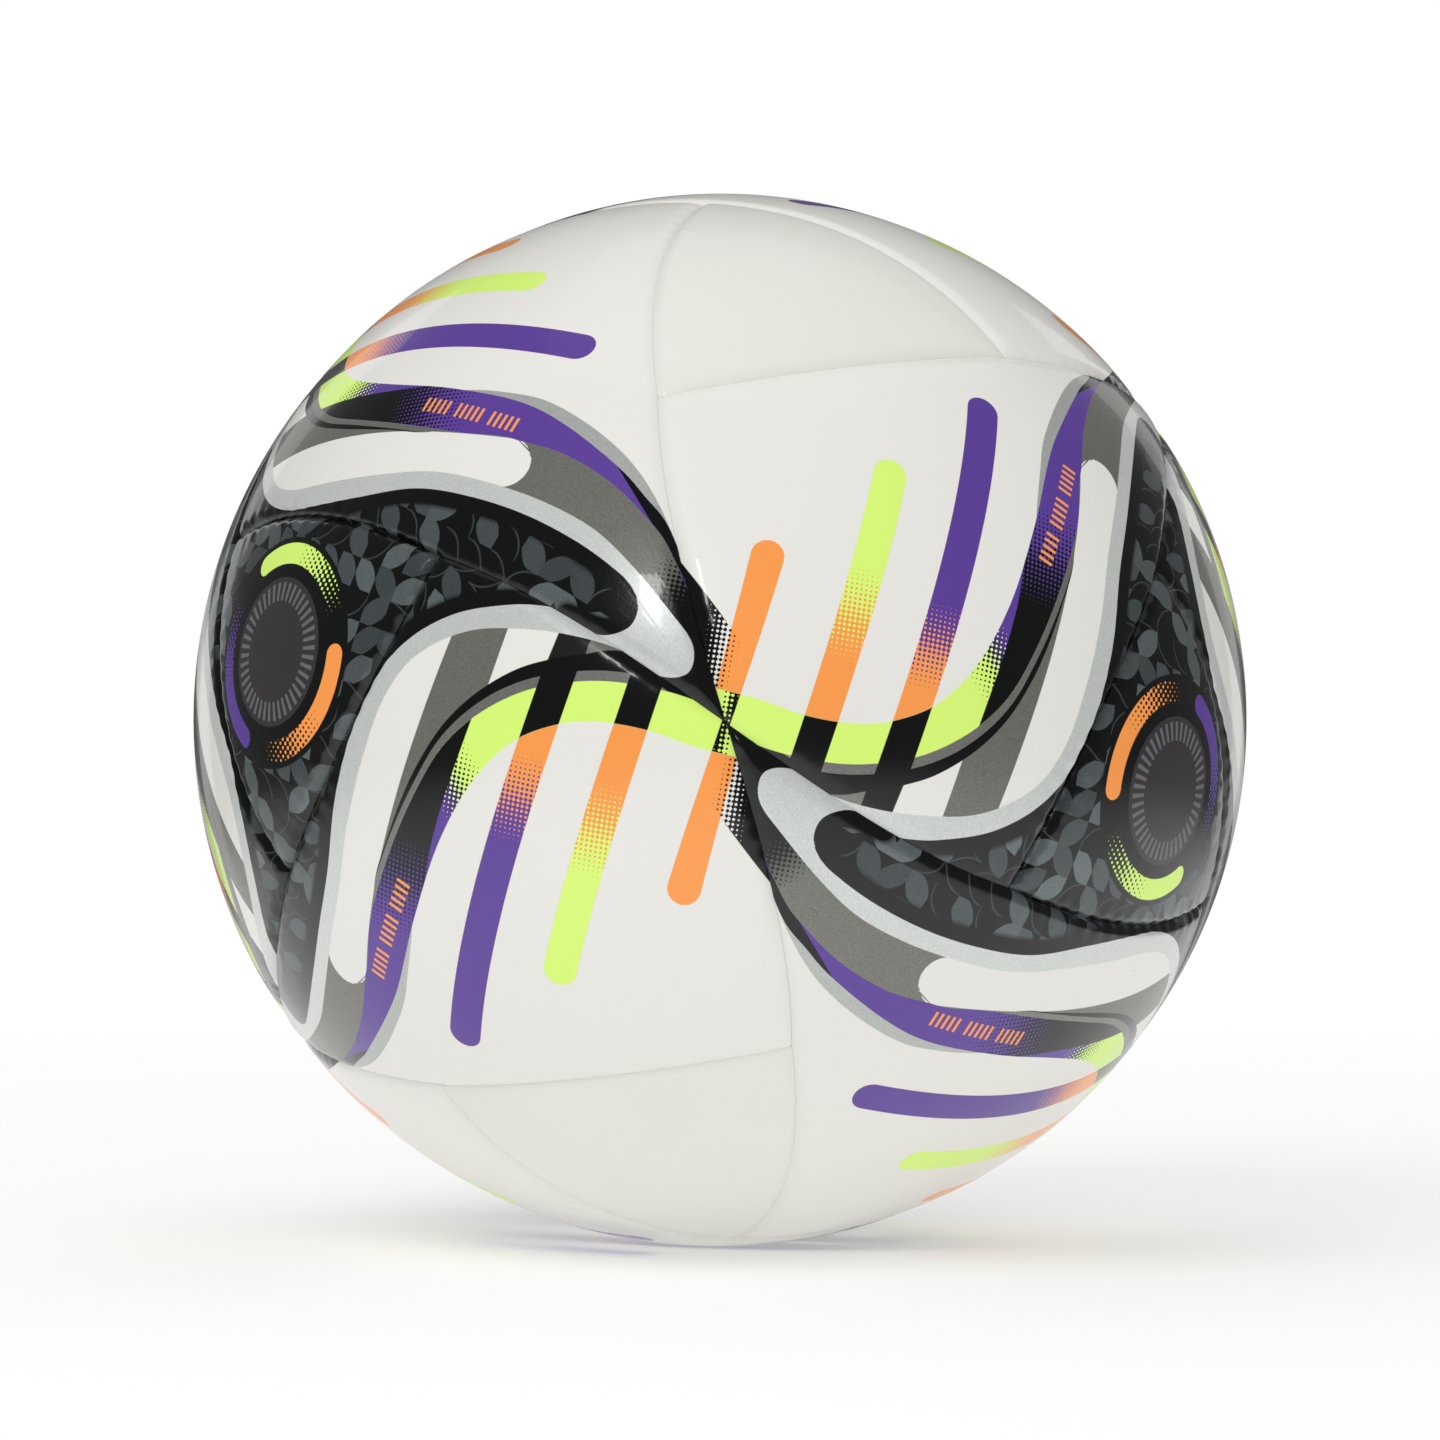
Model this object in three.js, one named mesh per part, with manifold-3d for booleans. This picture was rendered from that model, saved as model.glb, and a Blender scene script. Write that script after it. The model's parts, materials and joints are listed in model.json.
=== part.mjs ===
// A mini soccer ball: twenty stitched cover panels with foam backing over an inflated bladder
// with its valve. Millimetres, +Z up, and the origin is the ball's centre.
//
// The seams follow a pattern with the symmetry of a pyritohedron. Everything about it is written
// in three axes at right angles, across x, y and z of the pattern:
// a seam cross, where four panels meet, lies at both ends of each axis.
import * as THREE from 'three'
import Module from 'manifold-3d'

const wasm = await Module()
wasm.setup()
const { Manifold, Mesh: ManifoldMesh } = wasm

// Driving dimensions.
const ballRadius = 70
const patternTilt = 35.7            // turn of the seam pattern about the front-to-back axis, degrees

const skinThickness = 1.2
const seamDip = 0.9                 // how far a skin's edge lies below the crown of its panel
const skinSetback = 0.15            // from the seam's centre line to the skin's edge

const padSetback = 1.2              // the pad stops short of the seam, where the stitches run
const padCover = 0.4                // clearance between skin and pad
const padInnerRadius = ballRadius - 4.2

const threadRadius = 0.35
const threadDepth = ballRadius - 3.2  // radius of the sphere that the seam thread lies on
const beadRadius = 0.8

const bladderRadius = ballRadius - 4.9
const bladderWall = 1.0
const bladderSteps = 28             // round the valve's axis
const bladderArcSteps = 14          // from pole to port

// The seams, as directions from the ball's centre.
const seamJoint = new THREE.Vector3(0.2405, 0.5393, 0.8071).normalize()  // three panels meet here
const crossAzimuth = 71             // a seam leaves its cross at this angle to the x axis, degrees
const sideBulge = 2.1               // how far a triangle's side swells from the straight, degrees
const sideSteps = 5                 // straight stretches in the side of a triangle
const crossSteps = 4                // straight stretches from a cross to a joint
const gridPitch = 11                // spacing of the points across a panel

// The valve stands on the axis of one of the plain triangles.
const valveNeckRadius = 4.0
const valveBoreRadius = 2.6
const valveCoreRadius = 2.3
const needleRadius = 0.5
const valveFlangeRadius = 8.0
const valveFlangeTop = 62.9
const valveFlangeThickness = 1.4
const valveTop = 69.7
const valveBottom = 56
const needleBottom = 60
const collarRadius = 9.5
const collarBottom = 65.4
const collarTop = 67.4
const drillLength = 20
const fitGap = 0.3
const roundSteps = 24
const triangleMiddle = new THREE.Vector3(1, 1, 1).normalize()

const degree = Math.PI / 180

// Materials.
function material(color, roughness, metalness = 0) {
  return new THREE.MeshStandardMaterial({ color, roughness, metalness })
}

const whiteSkin = material(0xe8e7e0, 0.35)
const darkSkin = material(0x17191b, 0.35)
const foam = material(0xd9d6c8, 0.9)
const thread = material(0x2b2b2e, 0.8)
const bladderRubber = material(0x1c1c1e, 0.6)
const valveRubber = material(0x3a3a3c, 0.6)
const patchCloth = material(0xb9b5a6, 0.9)

// One third of a turn about the pattern's (1, 1, 1) line.
function cycle(p) {
  return new THREE.Vector3(p.z, p.x, p.y)
}

function mirrorY(p) {
  return new THREE.Vector3(p.x, -p.y, p.z)
}

// The seam from the cross at +z to the joint: it bends a little on its way.
function crossSeam() {
  const reach = Math.acos(seamJoint.z)
  const jointAzimuth = Math.atan2(seamJoint.y, seamJoint.x)
  const points = []
  for (let i = 0; i <= crossSteps; i++) {
    const share = i / crossSteps
    const azimuth = crossAzimuth * degree + (jointAzimuth - crossAzimuth * degree) * share * share
    const polar = reach * share
    points.push(new THREE.Vector3(
      Math.sin(polar) * Math.cos(azimuth),
      Math.sin(polar) * Math.sin(azimuth),
      Math.cos(polar)))
  }
  return points
}

// The side of a triangle, from the joint to its next image, swelling away from the triangle.
function triangleSide() {
  const start = seamJoint
  const end = cycle(seamJoint)
  const pole = new THREE.Vector3().crossVectors(start, end).normalize()
  const across = new THREE.Vector3().crossVectors(pole, start)
  const span = start.angleTo(end)
  const points = []
  for (let i = 0; i <= sideSteps; i++) {
    const share = i / sideSteps
    const lift = -sideBulge * degree * 4 * share * (1 - share)
    const point = start.clone().multiplyScalar(Math.cos(span * share))
    point.addScaledVector(across, Math.sin(span * share))
    point.addScaledVector(pole, Math.tan(lift))
    points.push(point.normalize())
  }
  return points
}

// From the cross at +z, past two joints, to the cross at +x: one flank of a kite panel.
function kiteFlank() {
  const first = crossSeam()
  const side = triangleSide()
  const last = crossSeam().map(cycle).reverse()
  return [...first, ...side.slice(1), ...last.slice(1)]
}

// A panel's outline seen from outside, anticlockwise, moved inwards by a distance on the sphere.
function insetOutline(outline, distance) {
  const count = outline.length
  return outline.map((point, i) => {
    const before = outline[(i + count - 1) % count]
    const after = outline[(i + 1) % count]
    const inwardIn = new THREE.Vector3().crossVectors(before, point).normalize()
    const inwardOut = new THREE.Vector3().crossVectors(point, after).normalize()
    const miter = inwardIn.clone().add(inwardOut)
    miter.multiplyScalar(distance / ballRadius / (1 + inwardIn.dot(inwardOut)))
    return point.clone().add(miter).normalize()
  })
}

// Points across the panel from one flank to the other, on the great circle between them.
function rowBetween(from, to, steps) {
  const row = []
  const angle = from.angleTo(to)
  for (let i = 0; i <= steps; i++) {
    const share = i / steps
    const point = from.clone().multiplyScalar(Math.sin((1 - share) * angle))
    point.addScaledVector(to, Math.sin(share * angle))
    row.push(point.normalize())
  }
  return row
}

// Rows of points that fill an outline made of a right flank, an optional end side and a left flank.
function panelRows(right, left, end, setback) {
  const endInside = end ? end.slice(1, -1) : []
  const closing = end ? left.slice(1) : left.slice(1, -1)
  const outline = [...right, ...endInside, ...closing.reverse()]
  const inset = insetOutline(outline, setback)
  const rows = [[inset[0]]]
  const last = right.length - 1
  for (let i = 1; i < last; i++) {
    const a = inset[i]
    const b = inset[inset.length - i]
    const steps = Math.max(1, Math.round(a.angleTo(b) * ballRadius / gridPitch))
    rows.push(rowBetween(a, b, steps))
  }
  rows.push(inset.slice(last, last + endInside.length + (end ? 2 : 1)))
  return rows
}

function kiteRows(setback) {
  const left = kiteFlank()
  const right = left.map(mirrorY)
  return panelRows(right, left, null, setback)
}

function triangleRows(setback) {
  const side = triangleSide()
  const next = side.map(cycle)
  const third = next.map(cycle)
  return panelRows(side, third.reverse(), next, setback)
}

// Triangles between two rows that may hold different numbers of points.
function stitchRows(a, b) {
  const faces = []
  let i = 0
  let j = 0
  while (i < a.length - 1 || j < b.length - 1) {
    const stepA = i < a.length - 1 && (j === b.length - 1 || (i + 1) / a.length <= (j + 1) / b.length)
    if (stepA) {
      faces.push([a[i], b[j], a[i + 1]])
      i += 1
    } else {
      faces.push([a[i], b[j], b[j + 1]])
      j += 1
    }
  }
  return faces
}

// A closed shell over the rows, between an outer and an inner radius that dip at the edge.
function shellFromRows(rows, outerCrown, outerEdge, innerCrown, innerEdge) {
  const directions = rows.flat()
  const count = directions.length
  let next = 0
  const index = rows.map((row) => row.map(() => next++))
  const rim = [...index.map((row) => row[0]), ...index.at(-1).slice(1)]
  rim.push(...index.slice(1, -1).map((row) => row.at(-1)).reverse())
  const onRim = new Set(rim)

  const position = []
  for (const [crown, edge] of [[outerCrown, outerEdge], [innerCrown, innerEdge]]) {
    directions.forEach((direction, i) => {
      position.push(...direction.clone().multiplyScalar(onRim.has(i) ? edge : crown).toArray())
    })
  }
  const faces = []
  for (let i = 0; i < index.length - 1; i++) {
    for (const [a, b, c] of stitchRows(index[i], index[i + 1])) {
      faces.push(a, b, c, a + count, c + count, b + count)
    }
  }
  rim.forEach((a, i) => {
    const b = rim[(i + 1) % rim.length]
    faces.push(a, a + count, b, b, a + count, b + count)
  })
  const geometry = new THREE.BufferGeometry()
  geometry.setAttribute('position', new THREE.Float32BufferAttribute(position, 3))
  geometry.setIndex(faces)
  return geometry
}

function skinShell(rows) {
  const edge = ballRadius - seamDip
  return shellFromRows(rows, ballRadius, edge, ballRadius - skinThickness, edge - skinThickness)
}

function padShell(rows) {
  const crown = ballRadius - skinThickness - padCover
  return shellFromRows(rows, crown, crown - seamDip, padInnerRadius, padInnerRadius)
}

// Between three.js geometry and manifold-3d, for the cuts and joins.
function toManifold(geometry) {
  const bare = new ManifoldMesh({
    numProp: 3,
    vertProperties: new Float32Array(geometry.attributes.position.array),
    triVerts: new Uint32Array(geometry.index.array)
  })
  bare.merge()
  return new Manifold(bare)
}

function fromManifold(solid) {
  const mesh = solid.getMesh()
  const geometry = new THREE.BufferGeometry()
  geometry.setAttribute('position', new THREE.BufferAttribute(mesh.vertProperties, mesh.numProp))
  geometry.setIndex(new THREE.BufferAttribute(mesh.triVerts, 1))
  return geometry
}

// The direction of the valve in the pattern's axes: the middle of a plain triangle at the back.
const valveAxis = new THREE.Vector3(-1, 1, -1).normalize()
const valveTurn = new THREE.Quaternion().setFromUnitVectors(new THREE.Vector3(0, 0, 1), valveAxis)

// A round hole down the middle of the plain triangle, cut in its own unturned place.
function holedTriangle(geometry, holeRadius) {
  const turn = new THREE.Quaternion()
  turn.setFromUnitVectors(new THREE.Vector3(0, 0, 1), triangleMiddle)
  const drill = new THREE.CylinderGeometry(holeRadius, holeRadius, drillLength, roundSteps)
  drill.rotateX(Math.PI / 2)
  drill.translate(0, 0, ballRadius)
  drill.applyQuaternion(turn)
  return fromManifold(toManifold(geometry).subtract(toManifold(drill)))
}

// The seam thread: a thin square cord along each seam, with a bead where the seams meet.
function threadCord(points) {
  const position = []
  const faces = []
  points.forEach((point, i) => {
    const ahead = points[Math.min(i + 1, points.length - 1)]
    const behind = points[Math.max(i - 1, 0)]
    const outward = point.clone().normalize()
    const side = new THREE.Vector3().crossVectors(ahead.clone().sub(behind), outward).normalize()
    for (const direction of [outward, side, outward.clone().negate(), side.clone().negate()]) {
      position.push(...direction.multiplyScalar(threadRadius).add(point).toArray())
    }
    if (i > 0) {
      for (let k = 0; k < 4; k++) {
        const a = 4 * i + k
        const b = 4 * i + (k + 1) % 4
        faces.push(a - 4, b - 4, a, b - 4, b, a)
      }
    }
  })
  const end = position.length / 3 - 4
  faces.push(0, 3, 1, 1, 3, 2, end, end + 1, end + 3, end + 1, end + 2, end + 3)
  const cord = new THREE.BufferGeometry()
  cord.setAttribute('position', new THREE.Float32BufferAttribute(position, 3))
  cord.setIndex(faces)
  return toManifold(cord)
}

function threadBead(at) {
  const bead = new THREE.OctahedronGeometry(beadRadius)
  bead.translate(at.x, at.y, at.z)
  const indexed = new THREE.BufferGeometry()
  indexed.setAttribute('position', bead.attributes.position)
  indexed.setIndex([...Array(bead.attributes.position.count).keys()])
  return toManifold(indexed)
}

// The twelve turns that carry the pattern onto itself.
function patternTurns() {
  const turns = []
  const flips = [[1, 1, 1], [1, -1, -1], [-1, 1, -1], [-1, -1, 1]]
  for (let third = 0; third < 3; third++) {
    for (const flip of flips) {
      const columns = [0, 1, 2].map((axis) => {
        const column = new THREE.Vector3()
        const row = (axis + third) % 3
        return column.setComponent(row, flip[row])
      })
      const turn = new THREE.Matrix4().makeBasis(...columns)
      turns.push(new THREE.Quaternion().setFromRotationMatrix(turn))
    }
  }
  return turns
}

function seamThread(turns) {
  const routes = [crossSeam(), crossSeam().map(mirrorY), triangleSide(), triangleSide().map(mirrorY)]
  const pieces = []
  for (const turn of turns) {
    for (const route of routes) {
      const points = route.map((p) => p.clone().applyQuaternion(turn).multiplyScalar(threadDepth))
      pieces.push(threadCord(points), threadBead(points[0]))
    }
  }
  return fromManifold(Manifold.union(pieces))
}

// Turned parts on the valve's axis. A profile is a list of radius and height along that axis.
function turned(profile, closed = true, steps = roundSteps) {
  const points = profile.map(([radius, height]) => new THREE.Vector2(radius, height))
  if (closed) points.push(points[0].clone())
  const geometry = new THREE.LatheGeometry(points, steps)
  geometry.rotateX(Math.PI / 2)
  return geometry
}

// A hollow ball, open only at the port that the valve's neck passes through.
function bladder() {
  const portRadius = valveNeckRadius + fitGap
  const profile = []
  for (const [radius, way] of [[bladderRadius, 1], [bladderRadius - bladderWall, -1]]) {
    const portAngle = Math.asin(portRadius / radius)
    const arc = []
    for (let i = 0; i <= bladderArcSteps; i++) {
      const angle = Math.PI - (Math.PI - portAngle) * i / bladderArcSteps
      arc.push([i === 0 ? 0 : radius * Math.sin(angle), radius * Math.cos(angle)])
    }
    profile.push(...(way > 0 ? arc : arc.reverse()))
  }
  return turned(profile, false, bladderSteps)
}

function valveHousing() {
  return turned([
    [valveBoreRadius, valveBottom],
    [valveNeckRadius, valveBottom],
    [valveNeckRadius, valveFlangeTop - valveFlangeThickness],
    [valveFlangeRadius, valveFlangeTop - valveFlangeThickness],
    [valveFlangeRadius, valveFlangeTop],
    [valveNeckRadius, valveFlangeTop],
    [valveNeckRadius, valveTop],
    [valveBoreRadius, valveTop]
  ])
}

// The rubber plug in the housing, with the passage for the needle; its lips below are shut.
function valveCore() {
  return turned([
    [0, valveBottom - fitGap],
    [valveCoreRadius, valveBottom - fitGap],
    [valveCoreRadius, valveTop - fitGap],
    [needleRadius, valveTop - fitGap],
    [needleRadius, needleBottom],
    [0, needleBottom]
  ], false)
}

// A cloth ring behind the valve's hole, between the bladder and the skin.
function valveCollar() {
  return turned([
    [valveNeckRadius + fitGap, collarBottom],
    [collarRadius, collarBottom],
    [collarRadius, collarTop],
    [valveNeckRadius + fitGap, collarTop]
  ])
}

// Assembly.
const ball = new THREE.Group()
const patternRight = new THREE.Vector3(Math.cos(patternTilt * degree), 0, Math.sin(patternTilt * degree))
const patternUp = new THREE.Vector3(-Math.sin(patternTilt * degree), 0, Math.cos(patternTilt * degree))
const patternFront = new THREE.Vector3(0, -1, 0)
ball.quaternion.setFromRotationMatrix(
  new THREE.Matrix4().makeBasis(patternRight, patternUp, patternFront))

function addPiece(name, geometry, look, turn) {
  const mesh = new THREE.Mesh(geometry, look)
  mesh.name = name
  mesh.quaternion.copy(turn)
  ball.add(mesh)
}

const turns = patternTurns()
const kiteSkin = skinShell(kiteRows(skinSetback))
const kitePad = padShell(kiteRows(padSetback))
turns.forEach((turn, i) => {
  const number = String(i + 1).padStart(2, '0')
  addPiece(`kite_panel_${number}`, kiteSkin, whiteSkin, turn)
  addPiece(`kite_pad_${number}`, kitePad, foam, turn)
})

const plainSkin = skinShell(triangleRows(skinSetback))
const plainPad = padShell(triangleRows(padSetback))
const valveSkin = holedTriangle(plainSkin, valveNeckRadius + fitGap)
const valvePad = holedTriangle(plainPad, collarRadius + fitGap)
const mirrored = new THREE.Matrix4().makeScale(1, -1, 1)

function mirroredCopy(geometry) {
  const copy = geometry.clone().applyMatrix4(mirrored)
  const order = Array.from(copy.index.array)
  for (let i = 0; i < order.length; i += 3) {
    order.splice(i, 3, order[i], order[i + 2], order[i + 1])
  }
  copy.setIndex(order)
  return copy
}

const darkTriangle = mirroredCopy(plainSkin)
const darkPad = mirroredCopy(plainPad)
turns.slice(0, 4).forEach((turn, i) => {
  const middle = triangleMiddle.clone().applyQuaternion(turn)
  const atValve = middle.distanceTo(valveAxis) < 0.01
  addPiece(`plain_triangle_${i + 1}`, atValve ? valveSkin : plainSkin, whiteSkin, turn)
  addPiece(`plain_triangle_pad_${i + 1}`, atValve ? valvePad : plainPad, foam, turn)
  addPiece(`dark_triangle_${i + 1}`, darkTriangle, darkSkin, turn)
  addPiece(`dark_triangle_pad_${i + 1}`, darkPad, foam, turn)
})

addPiece('seam_thread', seamThread(turns), thread, new THREE.Quaternion())
addPiece('bladder', bladder(), bladderRubber, valveTurn)
addPiece('valve_housing', valveHousing(), valveRubber, valveTurn)
addPiece('valve_core', valveCore(), valveRubber, valveTurn)
addPiece('valve_collar', valveCollar(), patchCloth, valveTurn)

export default ball
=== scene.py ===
"""The looks of a mini soccer ball: printed glossy skins with rolled seams, stitches, foam
backings, a moulded bladder and a rubber valve, in one studio scene.

Shapes are worked out in millimetres on the ball's sphere, in the axes of its seam pattern, and
turned into the row frame when a mesh is made.
"""
import itertools
import json
import math

import bpy
import numpy as np
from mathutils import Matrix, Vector

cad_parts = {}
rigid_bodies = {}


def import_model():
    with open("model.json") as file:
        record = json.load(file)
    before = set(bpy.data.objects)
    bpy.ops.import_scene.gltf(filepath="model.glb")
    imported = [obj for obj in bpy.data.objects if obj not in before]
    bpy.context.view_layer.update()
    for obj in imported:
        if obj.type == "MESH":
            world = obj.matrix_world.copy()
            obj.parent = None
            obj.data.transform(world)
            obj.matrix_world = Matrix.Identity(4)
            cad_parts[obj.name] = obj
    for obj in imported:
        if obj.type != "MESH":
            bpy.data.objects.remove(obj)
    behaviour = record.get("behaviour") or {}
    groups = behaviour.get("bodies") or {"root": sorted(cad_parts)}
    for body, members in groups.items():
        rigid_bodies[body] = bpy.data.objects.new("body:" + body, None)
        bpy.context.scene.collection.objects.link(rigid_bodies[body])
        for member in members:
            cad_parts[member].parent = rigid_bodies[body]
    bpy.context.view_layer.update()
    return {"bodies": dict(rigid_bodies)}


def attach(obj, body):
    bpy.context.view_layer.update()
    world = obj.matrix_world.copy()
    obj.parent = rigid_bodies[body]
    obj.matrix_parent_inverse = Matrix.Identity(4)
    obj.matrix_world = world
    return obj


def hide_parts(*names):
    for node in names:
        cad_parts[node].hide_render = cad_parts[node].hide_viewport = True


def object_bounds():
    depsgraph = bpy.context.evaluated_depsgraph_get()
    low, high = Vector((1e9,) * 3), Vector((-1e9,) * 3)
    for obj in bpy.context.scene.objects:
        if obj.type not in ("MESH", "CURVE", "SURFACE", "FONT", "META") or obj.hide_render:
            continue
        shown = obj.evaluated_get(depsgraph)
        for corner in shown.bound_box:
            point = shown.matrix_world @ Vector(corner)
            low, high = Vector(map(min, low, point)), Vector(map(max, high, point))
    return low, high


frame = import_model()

BODY = next(iter(frame["bodies"]))
MM = 0.001

# The ball and its seams, in millimetres and degrees.
BALL_RADIUS = 70.0
PATTERN_TILT = 35.7
SEAM_JOINT = np.array([0.2405, 0.5393, 0.8071]) / np.linalg.norm([0.2405, 0.5393, 0.8071])
CROSS_AZIMUTH = 71.0
SIDE_BULGE = 2.1
KITE_MIDDLE = math.radians(38)
SKIN_THICKNESS = 1.2

# The valley over a seam, by what the seam borders: its depth, half width and pucker.
CROSS_VALLEY = (0.62, 1.95, 0.035)
PLAIN_VALLEY = (0.46, 1.8, 0.025)
DARK_VALLEY = (0.95, 1.5, 0.1)
KITE_VALLEYS = (CROSS_VALLEY, DARK_VALLEY, CROSS_VALLEY, CROSS_VALLEY, PLAIN_VALLEY, CROSS_VALLEY)

# The rolled edge of a skin.
SHOULDER_DROP = 0.22
SHOULDER_REACH = 4.5
PUCKER_REACH = 1.6
STITCH_PITCH = 3.0
FLANGE_LEVEL = 66.6
FLANGE_THICKNESS = 0.4

# The rings of a skin's mesh. A share is how far a ring lies from the seams to the middle, and a
# spacing is the gap between its points in millimetres.
EDGE_SHARE = 0.0003
ROLL_SHARE = 0.078
FLANGE_SHARE = 0.02
TOP_SPACING = 0.7
ROLL_SPACING = 0.6
HOLE_SIDE_STEPS = 8
SIDE_SAMPLES = 400

# Foam, bladder and valve, as distances from the ball's centre.
PAD_TOP = 68.2
PAD_BOTTOM = 65.85
PAD_SHARE = 0.055
PAD_DROOP = 0.8
PAD_DROOP_REACH = 2.2
PAD_HOLE = 9.8
STITCH_LEVEL = 67.3
STITCH_LENGTH = 2.4
STITCH_DIVE = 0.7
THREAD_RADIUS = 0.34
BLADDER_RADIUS = 65.1
BLADDER_WALL = 1.0
BLADDER_RIDGE = 0.25
BLADDER_RIDGE_WIDTH = 0.9
VALVE_NECK = 4.0
VALVE_FIT = 0.3
VALVE_AXIS = np.array([-1.0, 1.0, -1.0]) / math.sqrt(3)

# The camera looks at the ball's centre.
CAMERA_DISTANCE = 0.735
CAMERA_AZIMUTH = -0.6
CAMERA_ELEVATION = 0.27
CAMERA_LENS = 137.6

# The studio round the ball: its floor, in metres, and its brightness.
FLOOR_RADIUS = 3.0
FLOOR_FADE = (0.1, 0.55)
FLOOR_GLOW = 0.35
ROOM_GLOW = 0.66
ROOM_REFLECTION = 0.12

tilt = math.radians(PATTERN_TILT)
PATTERN_TO_ROW = np.array([
    [math.cos(tilt), -math.sin(tilt), 0.0],
    [0.0, 0.0, -1.0],
    [math.sin(tilt), math.cos(tilt), 0.0],
])


# -------- directions and seams

def unit(vectors):
    return vectors / np.linalg.norm(vectors, axis=-1, keepdims=True)


def cycle(points):
    """A third of a turn about the pattern's (1, 1, 1) line."""
    return points[..., [2, 0, 1]]


def mirrored(points):
    return points * np.array([1.0, -1.0, 1.0])


def even(points, count):
    """The same curve through count equal steps."""
    steps = np.linalg.norm(np.diff(points, axis=0), axis=1)
    along = np.concatenate([[0.0], np.cumsum(steps)]) / steps.sum()
    shares = np.linspace(0.0, 1.0, count + 1)
    return unit(np.stack([np.interp(shares, along, points[:, k]) for k in range(3)], axis=-1))


def cross_seam():
    """From the cross at +z to the joint of three panels."""
    share = np.linspace(0.0, 1.0, SIDE_SAMPLES + 1)
    start = math.radians(CROSS_AZIMUTH)
    end = math.atan2(SEAM_JOINT[1], SEAM_JOINT[0])
    azimuth = start + (end - start) * share ** 2
    polar = math.acos(SEAM_JOINT[2]) * share
    points = [np.sin(polar) * np.cos(azimuth), np.sin(polar) * np.sin(azimuth), np.cos(polar)]
    return even(np.stack(points, axis=-1), SIDE_SAMPLES)


def triangle_side():
    """From one joint to the next, swelling away from the triangle."""
    share = np.linspace(0.0, 1.0, SIDE_SAMPLES + 1)[:, None]
    end = cycle(SEAM_JOINT)
    pole = unit(np.cross(SEAM_JOINT, end))
    across = np.cross(pole, SEAM_JOINT)
    span = math.acos(SEAM_JOINT @ end)
    lift = np.tan(np.radians(-SIDE_BULGE * 4 * share * (1 - share)))
    points = np.cos(span * share) * SEAM_JOINT + np.sin(span * share) * across + lift * pole
    return even(unit(points), SIDE_SAMPLES)


def pattern_turns():
    """The twelve turns that carry the seam pattern onto itself."""
    turns = []
    for third in range(3):
        for flip in ((1, 1, 1), (1, -1, -1), (-1, 1, -1), (-1, -1, 1)):
            turn = np.zeros((3, 3))
            for axis in range(3):
                row = (axis + third) % 3
                turn[row, axis] = flip[row]
            turns.append(turn)
    return turns


def kite_sides():
    cross = cross_seam()
    side = triangle_side()
    right = [mirrored(cross), mirrored(side), mirrored(cycle(cross)[::-1])]
    left = [cycle(cross), side[::-1], cross[::-1]]
    return right + left


def triangle_sides():
    side = triangle_side()
    return [side, cycle(side), cycle(cycle(side))]


def dark_triangle_sides():
    return [mirrored(side[::-1]) for side in reversed(triangle_sides())]


KITE_CENTRE = np.array([math.sin(KITE_MIDDLE), 0.0, math.cos(KITE_MIDDLE)])
TRIANGLE_CENTRE = np.array([1.0, 1.0, 1.0]) / math.sqrt(3)
DARK_CENTRE = mirrored(TRIANGLE_CENTRE)
TURNS = pattern_turns()


def seam_length(side):
    """The length of a seam in millimetres."""
    return np.linalg.norm(np.diff(side, axis=0), axis=1).sum() * BALL_RADIUS


def seam_distances(directions, sides):
    """For each side of a panel: the distance to it in millimetres, and how far along it."""
    found = []
    last = SIDE_SAMPLES
    for side in sides:
        nearest = (directions @ side.T).argmax(axis=1)
        gap = directions - side[nearest]
        ahead = side[np.minimum(nearest + 1, last)]
        behind = side[np.maximum(nearest - 1, 0)]
        tangent = unit(ahead - behind)
        along = (gap * tangent).sum(axis=1)
        across = np.sqrt(np.maximum((gap ** 2).sum(axis=1) - along ** 2, 0.0))
        past_end = np.where((nearest == 0) | (nearest == last), along, 0.0)
        distance = np.hypot(across, past_end) * BALL_RADIUS
        length = seam_length(side)
        share = nearest / last + np.where(past_end == 0.0, along * BALL_RADIUS / length, 0.0)
        found.append((distance, share, length))
    return found


def edge_distance(directions, sides):
    """The distance to the nearest side of a panel, in millimetres."""
    return np.min([distance for distance, _, _ in seam_distances(directions, sides)], axis=0)


def outer_radius(directions, sides, valleys):
    """The radius of a skin's outer face: it rolls over at the seams and puckers at the stitches."""
    dip_squared = np.zeros(len(directions))
    nearest = np.full(len(directions), 1e9)
    lift = np.zeros(len(directions))
    for (distance, share, length), valley in zip(seam_distances(directions, sides), valleys):
        depth, width, pucker = valley
        inside = np.clip(1 - distance / width, 0.0, 1.0)
        dip_squared += (depth * inside ** 2) ** 2
        stitches = round(length / STITCH_PITCH)
        wave = np.cos(2 * math.pi * stitches * share) * np.exp(-distance / PUCKER_REACH)
        lift += pucker * wave
        nearest = np.minimum(nearest, distance)
    shoulder = SHOULDER_DROP * np.exp(-nearest / SHOULDER_REACH)
    return BALL_RADIUS - np.sqrt(dip_squared) - shoulder + lift


# -------- meshes from rings

def ring_steps(sides, share, spacing, fewest=2):
    """How many steps each side of a ring gets."""
    return [max(fewest, round(seam_length(side) * (1 - share) / spacing)) for side in sides]


def ring_directions(sides, centre, share, steps, hole):
    """A panel's outline shrunk towards its centre, or towards a round hole there."""
    points = np.concatenate([even(side, count)[:-1] for side, count in zip(sides, steps)])
    flat = points / (points @ centre)[:, None] - centre
    return unit(centre + flat * (1 - share) + unit(flat) * hole / BALL_RADIUS * share)


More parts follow.
